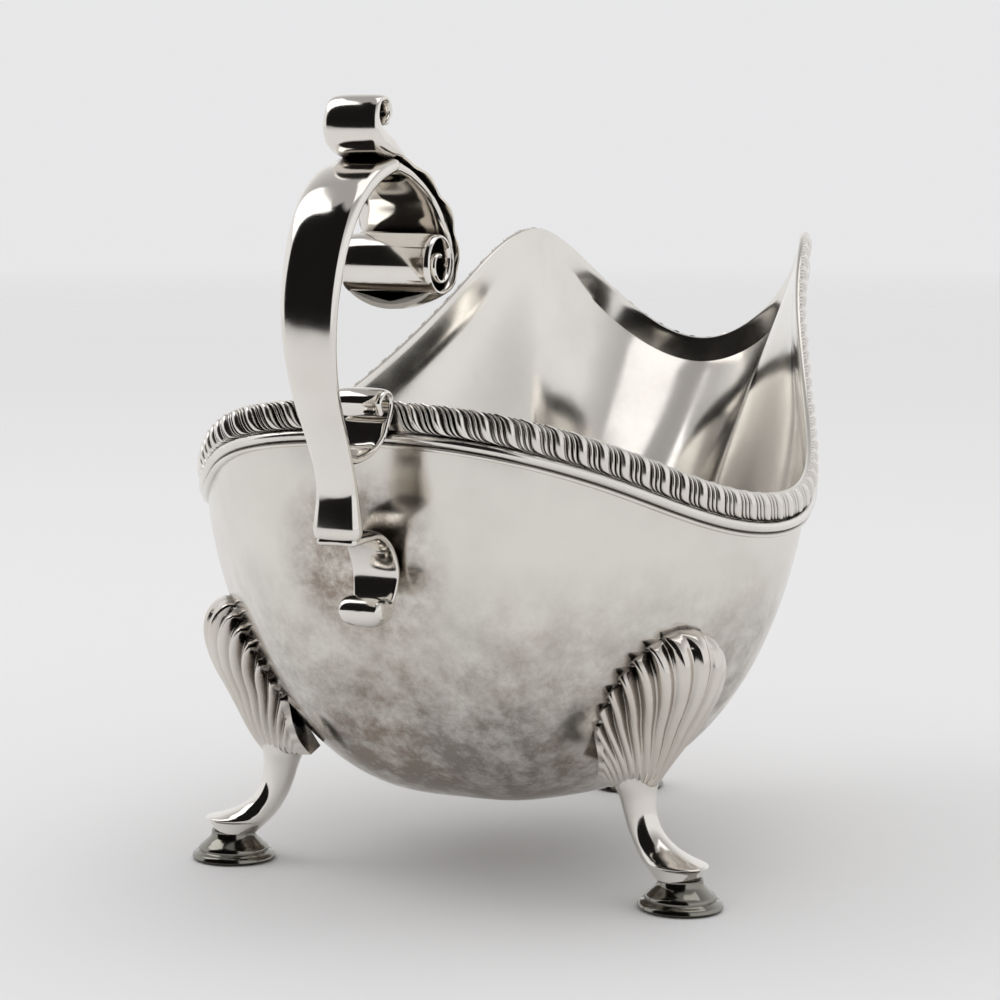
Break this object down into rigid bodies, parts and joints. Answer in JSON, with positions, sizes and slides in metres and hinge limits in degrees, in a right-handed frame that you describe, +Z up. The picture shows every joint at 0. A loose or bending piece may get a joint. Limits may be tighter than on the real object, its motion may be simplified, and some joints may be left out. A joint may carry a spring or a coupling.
{
  "type": "sauce boat",
  "caption": "Silver sauce boat with a gadrooned rim, a wide pouring lip, a flying scroll handle and shell-headed feet.",
  "frame": {"origin": "middle of the footprint of the whole object, on the table", "axes": "+X from the handle to the pouring lip, +Z up, y = 0 the mirror plane"},
  "size_m": [0.1808, 0.1124, 0.1382],
  "materials": {
    "polished_silver": "polished sheet silver with a soft grey and brown patina",
    "handle_silver": "polished cast silver, bright on its worn edges",
    "cast_silver": "cast silver with dark tarnish left in its grooves",
    "worn_silver": "turned silver, rubbed and slightly dulled"
  },
  "bodies": {
    "root": {"body_shell": "polished_silver", "rim_wire": "worn_silver", "gadroon_border_left": "cast_silver", "gadroon_border_right": "cast_silver", "handle_strap": "handle_silver", "handle_thumb_scroll": "handle_silver", "handle_leaf": "cast_silver", "handle_volute": "handle_silver", "handle_rim_scroll": "handle_silver", "handle_lower_scroll": "handle_silver", "leg_shell_rear_left": "cast_silver", "leg_stem_rear_left": "handle_silver", "foot_pad_rear_left": "worn_silver", "leg_shell_rear_right": "cast_silver", "leg_stem_rear_right": "handle_silver", "foot_pad_rear_right": "worn_silver", "leg_shell_front": "cast_silver", "leg_stem_front": "handle_silver", "foot_pad_front": "worn_silver"}
  },
  "joints": []
}
